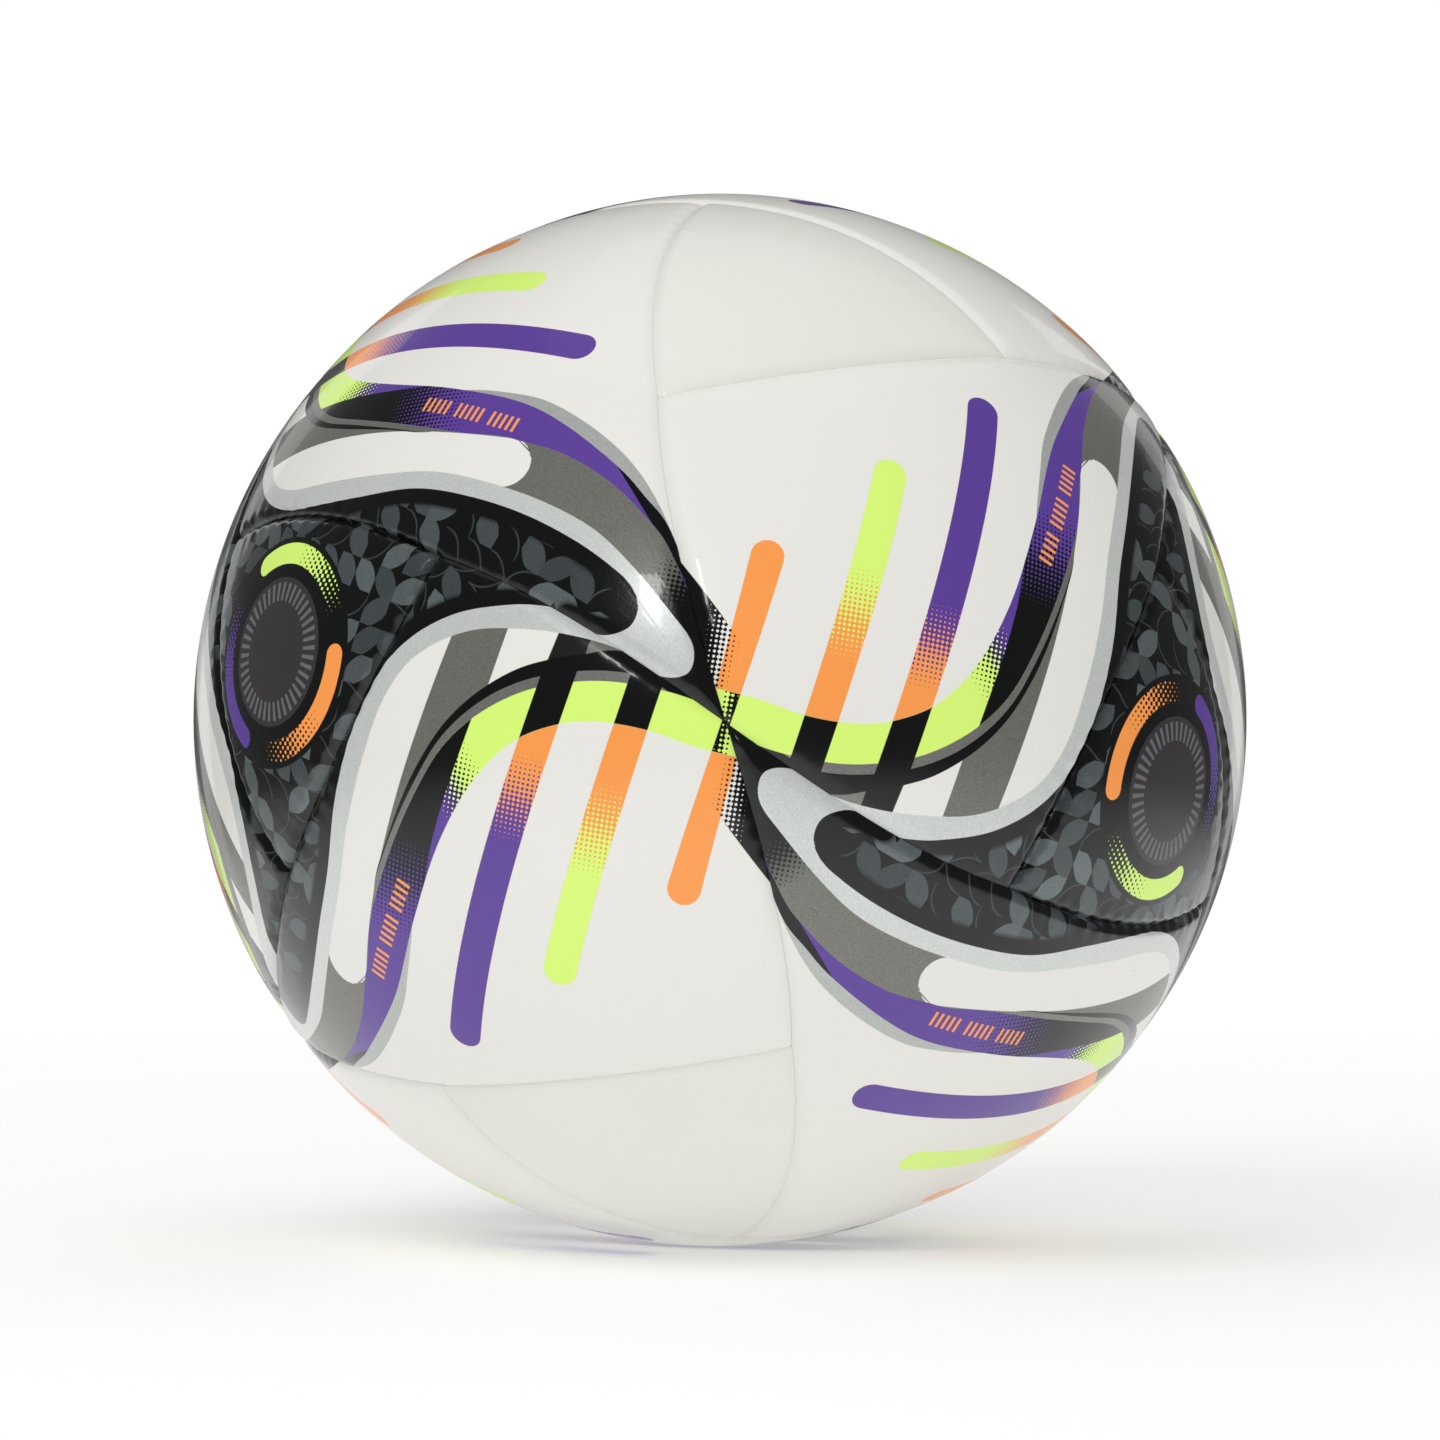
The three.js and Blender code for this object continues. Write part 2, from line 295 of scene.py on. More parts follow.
def zip_rings(outer_start, outer_steps, inner_start, inner_steps):
    """Faces between two rings, side by side, where the rings may differ in steps."""
    faces = []
    outer_total = sum(outer_steps)
    inner_total = sum(inner_steps)
    outer_offset = 0
    inner_offset = 0
    for outer_count, inner_count in zip(outer_steps, inner_steps):
        outer = [outer_start + (outer_offset + i) % outer_total for i in range(outer_count + 1)]
        inner = [inner_start + (inner_offset + i) % inner_total for i in range(inner_count + 1)]
        if outer_count == inner_count:
            faces += [(outer[i], outer[i + 1], inner[i + 1], inner[i]) for i in range(outer_count)]
        else:
            faces += zip_uneven(outer, inner)
        outer_offset += outer_count
        inner_offset += inner_count
    return faces


def zip_uneven(outer, inner):
    """Triangles between two rows of points that differ in number."""
    outer_count = len(outer) - 1
    inner_count = len(inner) - 1
    faces = []
    i = 0
    j = 0
    while i < outer_count or j < inner_count:
        outer_is_behind = i < outer_count and (i + 1) / outer_count <= (j + 1) / inner_count
        if j == inner_count or outer_is_behind:
            faces.append((outer[i], outer[i + 1], inner[j]))
            i += 1
        else:
            faces.append((outer[i], inner[j + 1], inner[j]))
            j += 1
    return faces


def shell(sides, centre, rings, hole=0.0):
    """A closed shell from a list of rings (share, spacing, radius function), which runs from the
    top's middle over the edge to the underside's middle. A hole takes the place of the middles."""
    directions = []
    radii = []
    faces = []
    starts = []
    counts = []
    total = 0
    fewest = HOLE_SIDE_STEPS if hole else 2
    for share, spacing, radius in rings:
        steps = ring_steps(sides, share, spacing, fewest)
        ring = ring_directions(sides, centre, share, steps, hole)
        directions.append(ring)
        radii.append(radius(ring))
        starts.append(total)
        counts.append(steps)
        total += len(ring)
    for k in range(len(rings) - 1):
        faces += zip_rings(starts[k + 1], counts[k + 1], starts[k], counts[k])
    if hole:
        faces += zip_rings(starts[0], counts[0], starts[-1], counts[-1])
    else:
        middle = centre[None, :]
        directions += [middle, middle]
        radii += [rings[0][2](middle), rings[-1][2](middle)]
        first = sum(counts[0])
        last = sum(counts[-1])
        faces += [(i, (i + 1) % first, total) for i in range(first)]
        faces += [(starts[-1] + (i + 1) % last, starts[-1] + i, total + 1) for i in range(last)]
    directions = np.concatenate(directions)
    return directions, directions * np.concatenate(radii)[:, None], faces


def skin_rings(sides, valleys, hole=0.0):
    """The rings of one skin: top, rolled edge, flange and underside."""
    def top(ring):
        return outer_radius(ring, sides, valleys)

    def below_top(drop):
        return lambda ring: top(ring) - drop

    def towards_flange(sunk):
        return lambda ring: top(ring) * (1 - sunk) + FLANGE_LEVEL * sunk

    under = below_top(SKIN_THICKNESS)
    rings = []
    if hole:
        rings += [(share, TOP_SPACING, below_top(drop)) for share, drop in (
            (1.0, 0.8), (1.0, 0.5), (0.993, 0.15))]
    rings += [(share, TOP_SPACING, top) for share in np.arange(0.98, 0.085, -0.024)]
    for angle in np.linspace(math.pi / 2, 0, 10):
        rings.append((EDGE_SHARE + ROLL_SHARE * (1 - math.cos(angle)), ROLL_SPACING, top))
    for sunk in (0.25, 0.5, 0.75, 1.0):
        rings.append((EDGE_SHARE, TOP_SPACING, towards_flange(sunk)))
    rings.append((FLANGE_SHARE * 0.6, 0.8, level(FLANGE_LEVEL)))
    rings.append((FLANGE_SHARE, 0.9, level(FLANGE_LEVEL + FLANGE_THICKNESS)))
    rings += [(share, spacing, under) for share, spacing in (
        (FLANGE_SHARE, 1.2), (0.05, 1.6), (0.12, 2.2), (0.25, 3.0), (0.4, 3.0), (0.6, 3.0),
        (0.8, 3.0))]
    if hole:
        rings += [(share, TOP_SPACING, under) for share in (0.97, 1.0)]
    return rings


def level(radius):
    """The radius function of a ring at one height."""
    return lambda ring: np.full(len(ring), radius)


def in_scene(name, data):
    """A new object in the scene, from a mesh, a lamp or a camera."""
    thing = bpy.data.objects.new(name, data)
    bpy.context.scene.collection.objects.link(thing)
    return thing


def make_piece(name, points, faces, material, turn=None, fields=None):
    """A mesh object from points in millimetres in the pattern's axes."""
    to_row = PATTERN_TO_ROW @ (np.eye(3) if turn is None else turn)
    mesh = bpy.data.meshes.new(name)
    mesh.from_pydata((points @ to_row.T * MM).tolist(), [], faces)
    for field, values in (fields or {}).items():
        layer = mesh.attributes.new(field, "FLOAT", "POINT")
        layer.data.foreach_set("value", np.asarray(values, dtype=np.float32))
    mesh.shade_smooth()
    mesh.materials.append(material)
    return in_scene(name, mesh)


def fit(piece, slot, *nodes):
    """The piece rides on the ball and stands for CAD nodes, which it hides. The slot is not used.
    """
    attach(piece, BODY)
    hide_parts(*nodes)


# -------- guide curves of the print

def smooth(points, count=16):
    """A dense Catmull-Rom curve through a few guide points."""
    points = np.array(points, dtype=float)
    padded = np.concatenate([[2 * points[0] - points[1]], points, [2 * points[-1] - points[-2]]])
    t = np.linspace(0.0, 1.0, count, endpoint=False)[:, None]
    pieces = []
    for a, b, c, d in zip(padded, padded[1:], padded[2:], padded[3:]):
        pieces.append(0.5 * (2 * b + (c - a) * t + (2 * a - 5 * b + 4 * c - d) * t ** 2
                             + (3 * b - a - 3 * c + d) * t ** 3))
    return np.concatenate(pieces + [points[-1:]])


def above(chart, points):
    """Signed distance in degrees from a guide curve: positive to the left of its run."""
    curve = smooth(points)
    best = np.full(len(chart), 1e9)
    signed = np.zeros(len(chart))
    for a, d in zip(curve, np.diff(curve, axis=0)):
        gap = chart - a
        share = np.clip(gap @ d / (d @ d), 0.0, 1.0)
        distance = np.linalg.norm(gap - share[:, None] * d, axis=1)
        across = (d[0] * gap[:, 1] - d[1] * gap[:, 0]) / np.linalg.norm(d)
        rank = distance - 1e-4 * np.abs(across)
        closer = rank < best
        best = np.where(closer, rank, best)
        signed = np.where(closer, np.copysign(distance, across), signed)
    return signed


def in_bar(chart, start, end, start_radius, end_radius):
    """Distance in degrees inside a bar with round ends."""
    start = np.array(start)
    run = np.array(end) - start
    share = np.clip((chart - start) @ run / (run @ run), 0.0, 1.0)
    distance = np.linalg.norm(chart - start - share[:, None] * run, axis=1)
    return start_radius + (end_radius - start_radius) * share - distance


# Guide curves in degrees on the kite panel's chart: x runs along the panel from its wide cross,
# y runs across it.
GUIDES = {
    "swirl_top": [(-3, 9), (1.1, 3.5), (4, 0), (6.85, -4), (10.4, -7.5), (14, -9.65), (19, -10.9),
        (25, -10.1), (32, -7.2), (40, -2.5), (48, 2.25), (54, 4.5), (61.7, 6.25), (66, 6.65),
        (71, 6.7), (80, 4)],
    "swirl_bottom": [(-2, 2.5), (0.2, -2), (3.3, -6.35), (8, -10.8), (13.9, -14), (20, -15.25),
        (26, -14.8), (32, -12.5), (39, -8.9), (46, -4.7), (50, -1.5), (52.5, 0), (56, 2.2),
        (60, 3.9), (64, 5), (68, 5.5), (72, 5.6), (80, 4)],
    "outline_bottom": [(-2, -5), (3.9, -11.6), (7.6, -13.85), (11.2, -15.6), (15, -16.8),
        (20, -17.2), (25, -16.55), (30, -14.75), (34, -12.75), (38, -10.4), (42, -7.95), (45, -5)],
    "hook_top": [(2, -6.5), (3.5, -10.6), (6.4, -14.8), (11, -19.2), (17, -23), (24, -24.35),
        (30, -22.8), (36, -18.9), (42, -14.2), (48, -9.1), (54, -5.25), (60, -1.9), (66, 0.6),
        (72, 1.6), (78, 1.95), (81.3, 1.95), (83.2, 0.9), (83.75, -0.6), (82.5, -2.5), (79, -5)],
    "hook_bottom": [(3, -15), (8.3, -20.4), (13, -23.5), (18, -25.6), (24, -26.35), (30, -25.25),
        (36, -22), (42, -17.3), (48, -11.6), (54, -7.5), (60, -4.1), (66, -1.5), (71, 0),
        (73.5, 0.28), (75.5, -0.4), (76.55, -2.4), (75.4, -5), (72, -7)],
    "outer_shine": [(38, -5.2), (41.5, -1.5), (46, 2), (50, 4.5), (56, 6.55), (62, 7.6), (68, 7.3),
        (76, 5.6)],
    "field_grey": [(10, -29.5), (19.2, -23.7), (30, -16.4), (38, -10.7), (46, -4.8), (56, 3)],
    "field_white": [(5, -26.6), (30, -8.6)],
    "field_black": [(0, -22.8), (20, -10)],
    "field_heel": [(0, -19.5), (16, -7.5)],
    "heel_black": [(8, -15), (5, -10.2), (4, -8.5), (3.2, -6.8), (2, -3)],
    "dark_split": [(12, -21.8), (21.7, -15.25), (31, -9), (36, -5), (46, 4)],
}

# The three bars: where each starts and ends, and its half width there.
BARS = {
    "bar_1": ((-6.0, -3.6), (13.4, 11.1), 1.0, 1.72),
    "bar_2": ((3.0, -8.8), (29.8, 10.6), 1.7, 1.75),
    "bar_3": ((6.5, -17.0), (45.2, 10.4), 1.75, 1.78),
}
BAR_RUN = unit(np.array([0.8, 0.6]))
FADE_SLANT = 45
BAR_2_FADE = (7.5, 18.5)
BAR_3_FADE = (6.1, 16.2)

# Where the print changes along the panel.
CORNER_END = 6.0
HEEL_END = 7.0
LIME_END = (26, 29)
BLACK_TO_PURPLE = (27, 30)
BAND_FADE = (23, 30.5)
BAND_LOWER_FADE = (17.8, 31.0)
OUTLINE_NARROWS = (18, 30)
CROSSED_OUTLINE_END = 24.0
SHINE_START = 41.0
SLIVER_START = 61.7
SLIVER_SLOPE = 0.077
SLIVER_LEVEL = 10.95
TIP_FADE = (72.3, 78.3)
TIP_BLACKENS = (72.8, 78.0)

# The strokes on the purple part of the band: three groups of five.
MARKS_START = (38.4, -6.1)
MARKS_RUN = (0.875, 0.484)
MARK_PITCH = 0.78
MARK_HALF_LENGTH = 0.85
MARK_GROUP = 6 * MARK_PITCH
MARKS_LENGTH = 3 * MARK_GROUP

# The white pill: the middle of its round end, and its radius.
PILL_END = np.array([53.5, -2.6])
PILL_RADIUS = 2.7

# The ring on a dark triangle, in degrees from its middle. Its arcs fade and end at a number of
# radians from their start.
RING_SHIFT = (0.5, -0.2)
RING_RADIUS = 10.45
RING_HALF_WIDTH = 1.15
RING_FADE = (1.68, 0.56)
RING_ARC_END = 1.75
DISC_RADIUS = 7.85
TICKS_INSIDE = 5.3
TICKS_OUTSIDE = 7.3
PETALS_OUTSIDE = 12.2


def chart_of(directions):
    """Where directions lie on the kite panel's chart."""
    x = np.degrees(np.arctan2(directions[:, 0], directions[:, 2]))
    y = np.degrees(np.arcsin(np.clip(directions[:, 1], -1, 1)))
    return np.stack([x, y], axis=-1)


def kite_fields(directions):
    """The values that the kite panels' material reads at each point."""
    chart = chart_of(directions)
    x = chart[:, 0]
    y = chart[:, 1]
    from_pill = chart - PILL_END
    pill = np.maximum(PILL_RADIUS - np.linalg.norm(from_pill, axis=1), -(from_pill @ BAR_RUN))
    # Two slanting lines, between which the corner turns black.
    corner_low = 2.4 + 0.75 * (x - 2)
    corner_high = 6.7 + 1.125 * (x - 2)
    fields = {
        "x": x,
        "y": y,
        "pill": pill,
        "corner_tone": (y - corner_low) / np.maximum(corner_high - corner_low, 0.5),
        "crossing_tone": 1 - (y + 0.75 - 0.78 * x) / 2.4,
    }
    for name, guide in GUIDES.items():
        fields[name] = above(chart, guide)
    for name, bar in BARS.items():
        fields[name] = in_bar(chart, *bar)
    return fields


def triangle_fields(directions, centre, right):
    """The place on a triangle, in degrees from the ring's middle."""
    right = unit(right - (right @ centre) * centre)
    up = np.cross(centre, right)
    polar = np.degrees(np.arccos(np.clip(directions @ centre, -1, 1)))
    turn = np.arctan2(directions @ up, directions @ right)
    return {
        "x": polar * np.cos(turn) - RING_SHIFT[0],
        "y": polar * np.sin(turn) - RING_SHIFT[1],
    }


# -------- materials

def srgb(red, green, blue):
    """A screen colour, 0 to 255, as the linear numbers that shaders use."""
    linear = []
    for value in (red, green, blue):
        value /= 255
        linear.append(value / 12.92 if value <= 0.04045 else ((value + 0.055) / 1.055) ** 2.4)
    return (*linear, 1.0)


# Inks: colour, metal, roughness, sparkle.
WHITE = (srgb(235, 234, 228), 0.0, 0.3, 0.0)
CREAM = (srgb(229, 230, 219), 0.0, 0.34, 0.0)
BLACK = (srgb(8, 10, 9), 0.0, 0.2, 0.0)
ORANGE = (srgb(255, 159, 76), 0.0, 0.3, 0.0)
LIME = (srgb(219, 254, 120), 0.0, 0.3, 0.0)
PURPLE = (srgb(92, 60, 154), 0.0, 0.3, 0.0)
SILVER = (srgb(214, 218, 215), 0.25, 0.32, 0.5)
SHINE = (srgb(186, 189, 185), 0.3, 0.32, 0.6)
GREY = (srgb(132, 132, 127), 0.45, 0.36, 0.8)
STEEL = (srgb(122, 122, 115), 0.3, 0.34, 0.9)
DARK_STEEL = (srgb(30, 32, 29), 0.3, 0.3, 0.5)
PETAL = (srgb(111, 120, 121), 0.4, 0.32, 0.8)
FAINT_PETAL = (srgb(67, 73, 76), 0.4, 0.32, 0.8)
TICK = (srgb(104, 105, 107), 0.0, 0.35, 0.0)
DISC = (srgb(54, 51, 53), 0.0, 0.24, 0.0)

# The arcs of the ring: the angle where each starts, and its ink.
RING_ARCS = ((123.7, ORANGE), (3.7, PURPLE), (243.7, LIME))

# The print's grain, in degrees on the ball: soft edges, halftone grids (pitch and turn), petals.
EDGE_SOFTNESS = 0.035
DOT_GRID = (0.72, 0.0)
RING_DOT_GRID = (0.9, 33.7)
DOT_SOFTNESS = 1.14
PETAL_CELL = 3.1
PETAL_TURN = 22.0
LEAF_REACH = 1.1
LEAF_SOFTNESS = 0.015
LEAF_MARGIN = (-1.6, -2.2)
ARC_EDGE = (0.04, 0.02)
LEAF_SHARE = 0.65
TICKS = 42


def fed_node(tree, kind, inputs, **settings):
    """A new node, its inputs fed with numbers, colours or sockets, by their name or number."""
    node = tree.nodes.new(kind)
    for key, value in settings.items():
        setattr(node, key, value)
    for socket, value in inputs.items():
        if isinstance(value, bpy.types.NodeSocket):
            tree.links.new(value, node.inputs[socket])
        else:
            node.inputs[socket].default_value = value
    return node


class Film:
    """A material of inks laid over each other, written as shader nodes."""

    def __init__(self, name, ground, dot_grid=DOT_GRID):
        self.material = bpy.data.materials.new(name)
        self.material.use_nodes = True
        self.tree = self.material.node_tree
        self.tree.nodes.clear()
        self.read = {}
        self.dot_grid = dot_grid
        self.colour = ground[0]
        self.finish = (ground[1], ground[2], ground[3], 1.0)

    def node(self, kind, inputs=None, **settings):
        """A node with its inputs fed from a table. A word stands for the mesh's field."""
        inputs = {socket: self.field(value) if isinstance(value, str) else value
                  for socket, value in (inputs or {}).items()}
        return fed_node(self.tree, kind, inputs, **settings)

    def field(self, name):
        if name not in self.read:
            self.read[name] = self.node("ShaderNodeAttribute", attribute_name=name).outputs["Fac"]
        return self.read[name]

    def math(self, operation, *values, clamp=False):
        inputs = dict(enumerate(values))
        return self.node("ShaderNodeMath", inputs, operation=operation, use_clamp=clamp).outputs[0]

    def ramp(self, value, low, high):
        """0 at low, 1 at high, straight between and level outside."""
        return self.node("ShaderNodeMapRange", {0: value, 1: low, 2: high}).outputs[0]

    def inside(self, distance):
        return self.ramp(distance, -EDGE_SOFTNESS, EDGE_SOFTNESS)

    def outside(self, distance):
        return self.ramp(distance, EDGE_SOFTNESS, -EDGE_SOFTNESS)

    def both(self, *masks):
        result = masks[0]
        for mask in masks[1:]:
            result = self.math("MULTIPLY", result, mask)
        return result

    def either(self, first, second):
        return self.math("MAXIMUM", first, second)

    def length(self, first, second):
        """The length of the diagonal over two sides."""
        return self.math("SQRT", self.math("ADD", self.math("MULTIPLY", first, first),
                                           self.math("MULTIPLY", second, second)))

    def along(self, turn):
        """The distance run in a direction on the chart."""
        turn = math.radians(turn)
        run = self.math("MULTIPLY", "x", math.cos(turn))
        return self.math("MULTIPLY_ADD", "y", math.sin(turn), run)

    def wave(self, run, pitch):
        """A wave between -1 and 1 that repeats along a run."""
        return self.math("COSINE", self.math("MULTIPLY", run, 2 * math.pi / pitch))

    def dots(self, tone):
        """Round dots on the film's grid, growing from nothing at tone 0 to solid at tone 1."""
        if "dot_level" not in self.read:
            pitch, turn = self.dot_grid
            waves = [self.wave(self.along(turn + quarter), pitch) for quarter in (0, 90)]
            wave = self.math("MULTIPLY", waves[0], waves[1])
            self.read["dot_level"] = self.math("MULTIPLY_ADD", wave, 0.5, 0.5)
        grown = self.math("MULTIPLY_ADD", tone, DOT_SOFTNESS, self.read["dot_level"])
        return self.ramp(grown, 1.0, DOT_SOFTNESS)

    def mix(self, share, first, second):
        inputs = {0: share, 6: first, 7: second}
        return self.node("ShaderNodeMix", inputs, data_type="RGBA").outputs[2]

    def paint(self, mask, ink):
        """Lays an ink over what is there. The ink's colour may be a socket."""
        self.colour = self.mix(mask, self.colour, ink[0])
        self.finish = self.mix(mask, self.finish, (ink[1], ink[2], ink[3], 1.0))

    def place(self):
        return self.node("ShaderNodeTexCoord").outputs["Object"]

    def noise(self, scale, detail=2.0):
        inputs = {"Vector": self.place(), "Scale": scale, "Detail": detail}
        return self.node("ShaderNodeTexNoise", inputs).outputs[0]

    def finished(self, relief, strength, distance, inputs):
        """The material, from its relief and the inputs of its shader."""
        bump = self.node("ShaderNodeBump", {
            "Strength": strength, "Distance": distance, "Height": relief})
        shader = self.node("ShaderNodeBsdfPrincipled", {"Normal": bump.outputs[0], **inputs})
        self.node("ShaderNodeOutputMaterial", {0: shader.outputs[0]})
        return self.material

    def close(self, metals=True):
        """Metal flakes, a fine grain, a clear coat, and the shader itself."""
        metal, rough, sparkle = self.node("ShaderNodeSeparateColor", {0: self.finish}).outputs
        smear = self.math("MULTIPLY_ADD", self.noise(90.0, 3.0), 0.16, -0.08)
        fine = self.math("MULTIPLY", self.noise(2600.0), 0.6)
        inputs = {
            "Base Color": self.flaked(sparkle) if metals else self.colour,
            "Roughness": self.math("ADD", rough, smear, clamp=True),
            "Specular IOR Level": 0.35,
            "Coat Weight": 0.45,
            "Coat Roughness": 0.05,
        }
        if metals:
            inputs["Metallic"] = metal
        return self.finished(self.math("ADD", fine, self.noise(420.0)), 0.25, 0.00006, inputs)

    def flaked(self, sparkle):
        """The colour, broken up by metal flakes where an ink sparkles."""
        flakes = self.ramp(self.noise(5200.0, 1.0), 0.25, 0.75)
        scale = self.math("MULTIPLY_ADD", flakes, 0.5, 0.75)
        scaled = self.node("ShaderNodeVectorMath", {0: self.colour, 3: scale}, operation="SCALE")
        return self.mix(sparkle, self.colour, scaled.outputs[0])


def petals(film, where):
    """A generic pattern on black: each square cell holds a leaf between two arcs, or one arc."""
    places = [film.math("DIVIDE", film.along(PETAL_TURN + quarter), PETAL_CELL)
              for quarter in (0, 90)]
    u, v = [film.math("FRACT", place) for place in places]
    cell = film.node("ShaderNodeCombineXYZ", {
        axis: film.math("FLOOR", place) for axis, place in enumerate(places)})
    chance = film.node("ShaderNodeTexWhiteNoise", {"Vector": cell.outputs[0]},
                       noise_dimensions="2D")
    pick = film.node("ShaderNodeSeparateColor", {0: chance.outputs["Color"]})

    flip = film.math("GREATER_THAN", pick.outputs[0], 0.5)
    unflipped = film.math("SUBTRACT", 1.0, film.math("MULTIPLY", flip, 2.0))
    u = film.math("MULTIPLY_ADD", u, unflipped, flip)
    here = film.length(u, v)
    there = film.length(film.math("SUBTRACT", 1.0, u), film.math("SUBTRACT", 1.0, v))
    leaf = film.both(*(film.ramp(reach, LEAF_REACH + LEAF_SOFTNESS, LEAF_REACH - LEAF_SOFTNESS)
                       for reach in (here, there)))
    filled = film.ramp(pick.outputs[1], 0.99 - LEAF_SHARE, 1 - LEAF_SHARE)
    arc = film.math("ABSOLUTE", film.math("SUBTRACT", here, 1.0))
    film.paint(film.both(film.ramp(arc, *ARC_EDGE), where), FAINT_PETAL)
    tone = film.mix(pick.outputs[2], FAINT_PETAL[0], PETAL[0])
    film.paint(film.both(leaf, filled, where), (tone, *PETAL[1:]))


def paint_white_field(film):
    """The three bars on the white, with their changes of colour, and the black in its corner."""
    upper = film.inside("swirl_top")
    slant = film.along(FADE_SLANT)
    film.paint(film.both(upper, film.inside("bar_1")), ORANGE)
    for bar, fade, ink in (("bar_2", BAR_2_FADE, LIME), ("bar_3", BAR_3_FADE, PURPLE)):
        where = film.both(upper, film.inside(bar))
        film.paint(where, ORANGE)
        film.paint(film.both(where, film.dots(film.ramp(slant, *fade))), ink)
    corner = film.both(upper, film.outside(film.math("SUBTRACT", "x", CORNER_END)))
    film.paint(film.both(corner, film.dots(film.ramp("corner_tone", 0, 1))), BLACK)
    return slant


def paint_swirl(film, slant):
    """The band that sweeps from lime at the wide cross to purple towards the tip."""
    under_top = film.outside("swirl_top")
    band = film.both(under_top, film.inside("swirl_bottom"))
    film.paint(band, LIME)
    crossing = film.dots(film.ramp("crossing_tone", 0, 1))
    film.paint(film.both(band, film.inside("bar_1"), crossing), BLACK)
    film.paint(film.both(band, film.ramp("x", *LIME_END)), WHITE)
    turning = film.mix(film.ramp("x", *BLACK_TO_PURPLE), BLACK[0], PURPLE[0])
    rise = film.dots(film.ramp("x", *BAND_FADE))
    film.paint(film.both(band, rise), (turning, *PURPLE[1:]))
    dark = film.both(band, film.outside("dark_split"))
    film.paint(dark, BLACK)
    film.paint(film.both(dark, film.dots(film.ramp(slant, *BAND_LOWER_FADE))), PURPLE)
    paint_marks(film, band)
    ridge = film.math("MULTIPLY_ADD", "x", SLIVER_SLOPE, "y")
    sliver = film.both(band, film.inside(film.math("SUBTRACT", ridge, SLIVER_LEVEL)),
                       film.inside(film.math("SUBTRACT", "x", SLIVER_START)))
    film.paint(sliver, BLACK)
    bars = film.either(film.inside("bar_2"), film.inside("bar_3"))
    film.paint(film.both(under_top, film.inside("outline_bottom"), bars,
                         film.ramp("x", CROSSED_OUTLINE_END, CROSSED_OUTLINE_END - 0.1)), BLACK)


def paint_marks(film, band):
    """Three groups of plain orange strokes along the purple part of the band."""
    x = film.math("SUBTRACT", "x", MARKS_START[0])
    y = film.math("SUBTRACT", "y", MARKS_START[1])
    along = film.math("ADD", film.math("MULTIPLY", x, MARKS_RUN[0]),
                      film.math("MULTIPLY", y, MARKS_RUN[1]))
    across = film.math("SUBTRACT", film.math("MULTIPLY", y, MARKS_RUN[0]),
                       film.math("MULTIPLY", x, MARKS_RUN[1]))
    strokes = film.ramp(film.wave(along, MARK_PITCH), 0.1, 0.3)
    groups = film.ramp(film.wave(along, MARK_GROUP), 0.72, 0.68)
    tall = film.inside(film.math("SUBTRACT", MARK_HALF_LENGTH, film.math("ABSOLUTE", across)))
    from_middle = film.math("ABSOLUTE", film.math("SUBTRACT", along, MARKS_LENGTH / 2))
    within = film.inside(film.math("SUBTRACT", MARKS_LENGTH / 2, from_middle))
    film.paint(film.both(band, strokes, groups, tall, within), ORANGE)


def paint_inner_field(film):
    """Below the band: the outline, the slanting fields and the pill on the metallic tip."""
    below = film.outside(film.math("ADD", "swirl_top", 0.1))
    film.paint(below, WHITE)
    for field, ink in (("field_grey", STEEL), ("field_white", WHITE),
                       ("field_black", DARK_STEEL), ("field_heel", GREY)):
        film.paint(film.both(below, film.inside(field)), ink)
    film.paint(film.both(below, film.outside("pill")), STEEL)
    outline = film.both(below, film.inside("outline_bottom"))
    film.paint(outline, BLACK)
    width = film.math("MULTIPLY_ADD", film.ramp("x", *OUTLINE_NARROWS), -0.4, 1.03)
    grey_line = film.inside(film.math("ADD", "swirl_bottom", width))
    film.paint(film.both(outline, grey_line), GREY)
    film.paint(film.both(outline, film.inside("heel_black"),
                         film.ramp("x", HEEL_END, HEEL_END - 0.1)), BLACK)


def kite_film():
    film = Film("kite_film", WHITE)
    slant = paint_white_field(film)
    shine = film.both(film.inside("swirl_top"), film.outside("outer_shine"),
                      film.ramp("x", SHINE_START, SHINE_START + 0.6))
    film.paint(shine, SHINE)
    paint_inner_field(film)
    paint_swirl(film, slant)
    tip = film.both(film.outside("swirl_bottom"), film.dots(film.ramp("x", *TIP_FADE)))
    film.paint(film.either(tip, film.ramp("x", *TIP_BLACKENS)), BLACK)
    hook = film.outside("hook_top")
    film.paint(hook, SILVER)
    lobe = film.both(hook, film.outside("hook_bottom"))
    film.paint(lobe, BLACK)
    petals(film, film.both(lobe, film.ramp("hook_bottom", *LEAF_MARGIN)))
    return film.close()


def white_film():
    film = Film("white_film", WHITE)
    film.paint(film.ramp(film.noise(24.0, 3.0), 0.35, 0.75), CREAM)
    return film.close(metals=False)


